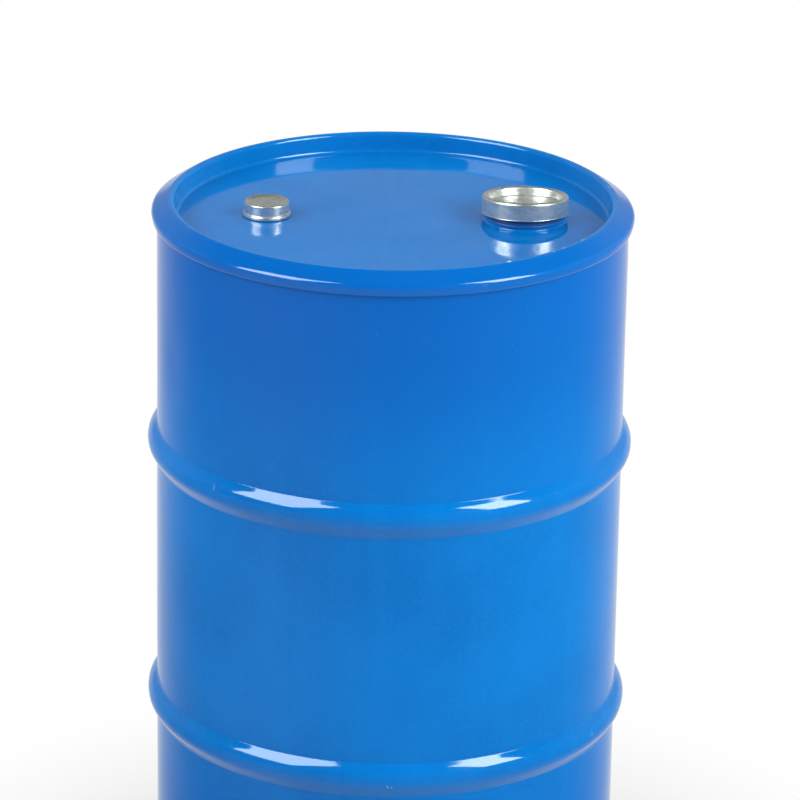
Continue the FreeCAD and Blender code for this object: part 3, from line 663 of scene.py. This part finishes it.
def enamel(name, is_shell):
    """Sprayed gloss enamel: orange peel, dust, fine scuffs, chips on the edges."""
    g = new_material(name)
    x, y, z = g.axes()
    radius = g.radius(x, y)
    angle = g.math("ARCTAN2", y, x)
    middle = H * MM / 2
    from_middle = g.math("ABSOLUTE", g.minus(z, middle))
    fine = g.noise(scale=330.0, detail=3.0, rough=0.6)
    colour = film_colour(g, radius, angle, z, fine)
    # the edges that stick out get knocked
    if is_shell:
        # painted shade: the paint is darkened under the chimes, and faintly for a long way down from
        # them, to stand in for the shade there
        from_end = g.minus(middle, from_middle)
        for span in ((0.014, 0.060), (0.050, 0.240)):
            colour = g.mix(g.ramp(from_end, span=span, to=(0.90, 0.0)), colour, BLUE_PAINTED_SHADE)
        edge = g.ramp(radius, span=(0.1955, 0.1984))
        seam = g.ramp(g.math("ABSOLUTE", g.minus(angle, math.pi / 2)),
                      span=(0.020, 0.034), to=(1.0, 0.0))
    else:
        crest = g.ramp(from_middle, span=((H / 2 - 3.2) * MM, (H / 2 - 0.4) * MM))
        edge = g.math("MAXIMUM", crest, g.ramp(radius, span=(0.1942, 0.1957)))
    knocks = g.noise(scale=95.0, detail=5.0, rough=0.68)
    rubs = g.noise(scale=9.0)
    worn = g.times(g.ramp(knocks, span=(0.640, 0.672)), g.ramp(rubs, span=(0.49, 0.64)))
    worn = g.times(worn, edge)
    pinholes = g.times(g.specks(scale=85.0, size=0.075, share=0.16),
                       g.ramp(edge, span=(0.0, 1.0), to=(0.10, 1.0)))
    dust = g.specks(scale=165.0, size=0.055, share=0.10)
    colour = g.mix(g.times(dust, 0.35), colour, DUST)
    colour = g.mix(g.times(pinholes, 0.75), colour, PINHOLE)
    colour = g.mix(worn, colour, g.mix(g.ramp(knocks, span=BARE), PRIMER, STEEL))
    if is_shell:
        patchy = g.ramp(g.noise(scale=60.0, detail=3.0), span=(0.35, 0.7), to=(0.05, 0.35))
        colour = g.mix(g.times(seam, patchy), colour, BLUE_SEAM)
    else:
        # painted shade: the outer slope of the rolled edge is darkened to stand in for the shade on
        # it
        colour = g.mix(g.ramp(radius, span=(0.1800, 0.1840), to=(0.0, 0.85)), colour, BLUE_PAINTED_SHADE)
        # painted highlight: a small pale spot near the front right of the chime
        colour = add_painted_glint(g, colour)
    # gloss, dulled by haze, scratches and wear
    haze = g.noise(scale=26.0, detail=4.0, rough=0.6)
    coat_rough = g.ramp(haze, span=(0.35, 0.70), to=(0.045, 0.085) if is_shell else (0.060, 0.105))
    coat_rough = g.plus(coat_rough, g.times(hair_scratches(g), 0.12))
    coat_rough = g.math("ADD", coat_rough, g.times(worn, 0.35), clamp=True)
    # relief: orange peel, dust, and chips cut through the film
    peel = g.noise(scale=240.0, distortion=0.3)
    relief = g.bump(peel, distance=0.000030, strength=0.55)
    relief = g.bump(g.times(dust, 1.0), distance=0.00006, strength=0.6, normal=relief)
    relief = g.bump(g.minus(1.0, worn), distance=0.00008, strength=0.8, normal=relief)
    if is_shell:
        heat = g.noise(scale=1.0, vector=g.join(g.times(angle, 60.0), g.times(z, 260.0), 0.0))
        relief = g.bump(g.times(heat, seam), distance=0.00018, strength=0.7, normal=relief)
    return g.principled(
        Base_Color=colour, Roughness=g.ramp(fine, span=(0.3, 0.7), to=(0.42, 0.52)),
        Normal=relief, Coat_Weight=g.ramp(worn, span=(0.2, 0.8), to=(1.0, 0.15)),
        Coat_Roughness=coat_rough, Coat_IOR=1.52, Coat_Normal=relief,
        Specular_IOR_Level=0.0, Metallic=g.times(g.ramp(knocks, span=BARE), worn))


def lining(name):
    """The drum's unpainted inside: phosphated steel, matt grey and cloudy."""
    g = new_material(name)
    cloud = g.noise(scale=14.0, detail=5.0, rough=0.62)
    grain = g.noise(scale=620.0)
    colour = g.mix(g.ramp(cloud, span=(0.35, 0.68)), (0.115, 0.118, 0.120), (0.190, 0.188, 0.182))
    colour = g.mix(g.ramp(grain, span=(0.55, 0.75), to=(0.0, 0.4)), colour, (0.27, 0.26, 0.25))
    return g.principled(Base_Color=colour, Metallic=0.55,
                        Roughness=g.ramp(grain, span=(0.3, 0.7), to=(0.42, 0.60)),
                        Normal=g.bump(grain, distance=0.00002, strength=0.6))


def tinplate(name, centre):
    """Pressed tinplate: bright, with concentric press marks and a faint brushed grain."""
    g = new_material(name)
    radius, x, y, z = g.around(centre)
    angle = g.math("ARCTAN2", y, x)
    turned = g.noise(scale=1.0, detail=3.0, rough=0.6, vector=g.join(
        g.times(radius, 2600.0), g.times(angle, 2.5), g.times(z, 900.0)))
    drawn = g.noise(scale=1.0, rough=0.6, vector=g.join(
        g.times(angle, 90.0), g.times(z, 45.0), radius))
    crystal = g.red(g.cells(360.0)["Color"])
    dull = g.noise(scale=70.0, detail=4.0, rough=0.6)
    colour = g.mix(g.ramp(crystal, span=(0.0, 1.0)), (0.60, 0.59, 0.575), (0.70, 0.69, 0.665))
    colour = g.mix(g.ramp(dull, span=(0.50, 0.72), to=(0.0, 0.35)), colour, (0.46, 0.455, 0.44))
    colour = g.mix(g.times(g.ramp(drawn, span=(0.50, 0.74)), 0.20), colour, (0.48, 0.48, 0.49))
    spots = g.specks(scale=520.0, size=0.16, share=0.14)
    colour = g.mix(g.times(spots, 0.5), colour, (0.24, 0.23, 0.22))
    relief = g.bump(turned, distance=0.000008, strength=0.6)
    relief = g.bump(drawn, distance=0.000022, strength=0.4, normal=relief)
    relief = g.bump(dull, distance=0.00008, strength=0.30, normal=relief)
    return g.principled(
        Base_Color=colour, Metallic=0.90, Normal=relief,
        Roughness=g.plus(g.ramp(turned, span=(0.3, 0.7), to=(0.25, 0.34)),
                         g.ramp(dull, span=(0.4, 0.7), to=(0.0, 0.10))))


def zinc(name, centre, blush_colour, rim, spray_and_shade):
    """Cloudy zinc plate with turning marks; beyond the radius rim (metres) a dark blue that is
    partly overspray, partly painted shade.
    """
    g = new_material(name)
    radius, _, _, z = g.around(centre)
    turned = g.noise(scale=1.0, rough=0.6, vector=g.join(
        g.times(radius, 1500.0), 0.3, g.times(z, 1500.0)))
    cloud = g.noise(scale=60.0, detail=4.0, rough=0.6)
    blush = g.noise(scale=110.0)
    colour = g.mix(g.ramp(cloud, span=(0.35, 0.68)), (0.50, 0.51, 0.53), (0.63, 0.63, 0.61))
    colour = g.mix(g.ramp(blush, span=(0.5, 0.72), to=(0.0, 0.45)), colour, blush_colour)
    ragged = g.plus(radius, g.times(g.minus(cloud, 0.5), 0.0012))
    # beyond the rim: overspray, darkened as painted shade
    spray_and_shade_mask = g.ramp(ragged, span=(rim, rim + 0.0005))
    return g.principled(
        Base_Color=g.mix(spray_and_shade_mask, colour, spray_and_shade), Metallic=g.minus(1.0, spray_and_shade_mask),
        Roughness=g.plus(g.ramp(turned, span=(0.3, 0.7), to=(0.26, 0.38)),
                         g.ramp(cloud, span=(0.4, 0.7), to=(0.0, 0.12))),
        Normal=g.bump(turned, distance=0.000014, strength=0.7))


def rubber(name, centre=0.0, rim=None):
    """Black gasket rubber; beyond the radius rim (metres), if given, a dark blue that is partly
    overspray, partly painted shade.
    """
    g = new_material(name)
    bloom = g.noise(scale=85.0, detail=4.0, rough=0.6)
    grain = g.noise(scale=1300.0)
    colour = g.mix(g.ramp(bloom, span=(0.40, 0.70)), (0.014, 0.014, 0.015), (0.050, 0.049, 0.047))
    if rim:
        radius = g.around(centre)[0]
        # beyond the rim: overspray, darkened as painted shade
        colour = g.mix(g.ramp(radius, span=(rim, rim + 0.0006)), colour, SPRAY_AND_SHADE_GASKET)
    return g.principled(Base_Color=colour,
                        Roughness=g.ramp(bloom, span=(0.35, 0.7), to=(0.48, 0.72)),
                        Normal=g.bump(grain, distance=0.00002, strength=0.8))


def compound(name):
    """Streaky green sealing compound."""
    g = new_material(name)
    streak = g.noise(scale=130.0, detail=4.0, rough=0.6)
    colour = g.mix(g.ramp(streak, span=(0.38, 0.66)), (0.055, 0.082, 0.060), (0.120, 0.150, 0.110))
    return g.principled(Base_Color=colour,
                        Roughness=g.ramp(streak, span=(0.3, 0.7), to=(0.5, 0.8)),
                        Normal=g.bump(streak, distance=0.0001, strength=0.6))


paint_shell = enamel("drum_enamel_shell", is_shell=True)
paint_head = enamel("drum_enamel_head", is_shell=False)
inside_steel = lining("drum_inside_phosphate")

shell.data.materials.append(paint_shell)
shell.data.materials.append(inside_steel)
skin_tag = np.zeros(len(shell.data.vertices), np.float32)
shell.data.attributes["skin"].data.foreach_get("value", skin_tag)
for poly in shell.data.polygons:
    if all(skin_tag[v] > 0.5 for v in poly.vertices):
        poly.material_index = 1

# object, direction of its inner face, height of its flat
for obj, inward, flat_z in ((top_head, -1, PLATE), (bottom_head, 1, DEPTH + HEAD_HALF)):
    obj.data.materials.append(paint_head)
    obj.data.materials.append(inside_steel)
    for poly in obj.data.polygons:
        at = poly.center
        if (math.hypot(at.x, at.y) < 0.1765 and poly.normal.z * inward > 0.2
                and abs(at.z - flat_z * MM) < 0.003):
            poly.material_index = 1

bung_seal.data.materials.append(tinplate("tinplate_bung", BUNG_X))
vent_seal.data.materials.append(tinplate("tinplate_vent", VENT_X))


def dress(piece, material):
    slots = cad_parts[piece].data.materials
    slots.clear()
    slots.append(material)


WARM, COLD = (0.62, 0.54, 0.36), (0.47, 0.52, 0.60)
# piece, axis, blush of the plating, radius where the overspray and painted shade start (metres),
# their colour
for piece, centre, blush, rim, spray_and_shade in (
        ("bung_flange", BUNG_X, COLD, 0.0322, SPRAY_AND_SHADE_FLANGE),
        ("vent_flange", VENT_X, COLD, 0.0153, SPRAY_AND_SHADE_FLANGE),
        ("bung_plug", BUNG_X, WARM, 0.0318, SPRAY_AND_SHADE_PLUG),
        ("vent_plug", VENT_X, WARM, 0.0158, SPRAY_AND_SHADE_PLUG)):
    dress(piece, zinc("zinc_" + piece, centre, blush, rim, spray_and_shade))
gasket = rubber("gasket_rubber_black")
for piece in ("bung_flange_gasket", "vent_flange_gasket"):
    dress(piece, gasket)
dress("bung_plug_gasket", rubber("gasket_rubber_bung", BUNG_X, rim=0.0300))
dress("vent_plug_gasket", rubber("gasket_rubber_vent", VENT_X, rim=0.0140))
seam_compound = compound("seam_compound_green")
for piece in ("top_seam_compound", "bottom_seam_compound"):
    dress(piece, seam_compound)


# ---------------------------------------------------------------- the lights
def softbox(name, azimuth, elevation, distance, radiance, tint, glossy):
    """A rectangular light that spans two azimuths and two elevations seen from the drum.

    Azimuth 0 is the front (-Y) and 90 is +X. It lights either the highlights or the diffuse.
    """
    across, rise = math.radians(sum(azimuth) / 2), math.radians(sum(elevation) / 2)
    target = Vector((0, 0, 0.42))
    out = Vector((math.sin(across) * math.cos(rise), -math.cos(across) * math.cos(rise),
                  math.sin(rise)))
    wide = 2 * distance * math.tan(math.radians((azimuth[1] - azimuth[0]) / 2)) * math.cos(rise)
    tall = 2 * distance * math.tan(math.radians((elevation[1] - elevation[0]) / 2))
    data = bpy.data.lights.new(name, "AREA")
    data.shape = "RECTANGLE"
    data.size, data.size_y = wide, tall
    data.energy = radiance * math.pi * wide * tall      # W, so that the face has this radiance
    data.color = tint
    obj = bpy.data.objects.new(name, data)
    obj.location = target + out * distance
    obj.rotation_mode = "QUATERNION"
    obj.rotation_quaternion = out.to_track_quat("Z", "Y")
    obj.visible_camera = False
    obj.visible_glossy = glossy
    obj.visible_diffuse = not glossy
    bpy.context.scene.collection.objects.link(obj)


COOL, WHITE = (0.90, 1.0, 0.99), (1.0, 1.0, 1.0)
# two strip banks give the highlights; broad, weaker lights give the light on the paint
# name, azimuths, elevations, distance in metres, radiance, tint, glossy
for light in (
        ("bank_left", (-82, -39.5), (23, 62), 2.4, 9.8, COOL, True),
        ("bank_right", (45.5, 72), (23, 56), 2.4, 14.0, COOL, True),
        ("fill_left", (-82, -33), (20, 50), 2.4, 6.6, WHITE, False),
        ("fill_right_high", (35, 75), (20, 50), 2.4, 8.0, (1.0, 1.05, 1.0), False),
        ("fill_front_right", (12, 85), (-15, 30), 2.6, 1.75, (1.0, 1.18, 1.0), False),
        ("fill_right", (70, 130), (5, 45), 2.6, 2.4, (1.0, 1.45, 1.0), False),
        ("fill_far_left", (-135, -92), (5, 45), 2.6, 2.8, (1.0, 1.5, 1.0), False),
        ("overhead", (-40, 40), (62, 88), 2.4, 1.6, WHITE, False)):
    softbox(*light)


# ----------------------------------------------------------------- the world
def glossy_room(g, x, z, back, flat_x):
    """Dark overhead and in front, a grey wall behind, a pale floor towards the back."""
    floor_back = g.plus(0.13, g.times(0.66, g.math("POWER", g.math("MAXIMUM", back, 0.0), 2.4)))
    floor_left = g.times(g.ramp(flat_x, span=(-0.95, 0.15), to=(0.17, 0.0)),
                         g.ramp(back, span=(-0.6, 0.5), to=(1.0, 0.0)))
    under = g.ramp(z, span=(-0.85, -0.35), to=(0.30, 0.0))
    lower = g.plus(g.plus(floor_back, floor_left), under)
    wall = g.ramp(back, span=(-0.2, 0.7), to=(0.07, 0.31))
    wall_fade = g.ramp(z, span=(0.42, 0.72), to=(1.0, 0.10))
    step = g.times(g.ramp(z, span=(0.300, 0.316), to=(1.12, 1.0)), 1.0)
    upper = g.times(g.times(wall, wall_fade), step)
    return g.blend(lower, upper, g.ramp(z, span=(-0.06, 0.06)))


def diffuse_room(g, z, back):
    """Bounce from the pale floor, a pale wall behind, a dim room above."""
    bounce = g.ramp(z, span=(-0.20, 0.10), to=(1.10, 0.24))
    wall = g.times(g.ramp(z, span=(0.0, 0.25), to=(0.0, 0.70)),
                   g.ramp(z, span=(0.75, 1.0), to=(1.0, 0.3)))
    return g.plus(bounce, g.times(wall, g.ramp(back, span=(-0.1, 0.6))))


def build_world():
    world = bpy.data.worlds.new("studio")
    scene.world = world
    g = Graph(world)
    world.cycles.sampling_method = "NONE"
    x, y, z = g.axes(g.node("TexCoord").outputs["Generated"])
    # -1 in front, +1 behind
    back = g.math("DIVIDE", y, g.math("MAXIMUM", g.radius(x, y), 0.001))
    paths = g.node("LightPath").outputs
    is_glossy = paths["Is Glossy Ray"]
    room = g.plus(g.times(glossy_room(g, x, z, back, x), is_glossy),
                  g.times(diffuse_room(g, z, back), g.minus(1.0, is_glossy)))
    strength = g.blend(room, 1.0, paths["Is Camera Ray"])
    shade = g.node("Background", {"Color": WHITE, "Strength": strength})
    g.finish(shade.outputs[0], "OutputWorld")


# ----------------------------------------------------------------- the floor
def build_floor():
    """A pale floor with a soft contact shadow, seen by the camera from above only."""
    size, z = 14.0, -0.0005                 # metres
    corners = [(-size, -size, z), (size, -size, z), (size, size, z), (-size, size, z)]
    floor = new_object("studio_floor", corners, [[0, 1, 2, 3]])
    g = new_material("studio_floor_white")
    contact = g.node("AmbientOcclusion", {"Distance": 0.30}, samples=12).outputs["AO"]
    white = g.ramp(contact, span=(0.30, 0.98), to=(0.42, 1.0), kind="LINEAR")
    glow = g.node("Emission", {"Strength": white}).outputs[0]
    clear = g.node("BsdfTransparent").outputs[0]
    below = g.node("NewGeometry").outputs["Backfacing"]
    material = g.finish(g.node("MixShader", {0: below, 1: glow, 2: clear}).outputs[0])
    floor.data.materials.append(material)
    floor.visible_diffuse = False
    floor.visible_glossy = False
    floor.visible_transmission = False
    floor.visible_shadow = False


# ---------------------------------------------------------------- the camera
PITCH, ROLL = math.radians(20.2653), math.radians(-0.9500)
# a point on the drum's axis, and where the camera sees it: right, down, ahead, in metres
AIM = Vector((0, 0, (H - 2.6) * MM))
AIM_IN_VIEW = Vector((-0.005489352, -0.161193252, 4.133830404))


def build_camera():
    """The camera stands in front (-Y) and looks slightly down."""
    # the drum's directions in view axes: x right, y down, z ahead
    down = Vector((math.sin(ROLL) * math.cos(PITCH), math.cos(ROLL) * math.cos(PITCH),
                   math.sin(PITCH)))
    right = Vector((math.cos(ROLL), -math.sin(ROLL), 0.0))
    front = down.cross(right)
    to_world = Matrix((right, -front, -down))
    shift = AIM_IN_VIEW - to_world.transposed() @ AIM
    flip = Matrix.Diagonal((1.0, -1.0, -1.0))       # a camera has y up and looks along -z
    data = bpy.data.cameras.new("camera")
    data.sensor_width = 36.0
    data.lens = 229.5
    data.clip_start, data.clip_end = 0.05, 80.0
    camera = bpy.data.objects.new("camera", data)
    camera.matrix_world = Matrix.Translation(-(to_world @ shift)) @ (to_world @ flip).to_4x4()
    scene.collection.objects.link(camera)
    scene.camera = camera


scene = bpy.context.scene
build_world()
build_floor()
build_camera()
scene.view_settings.view_transform = "Standard"
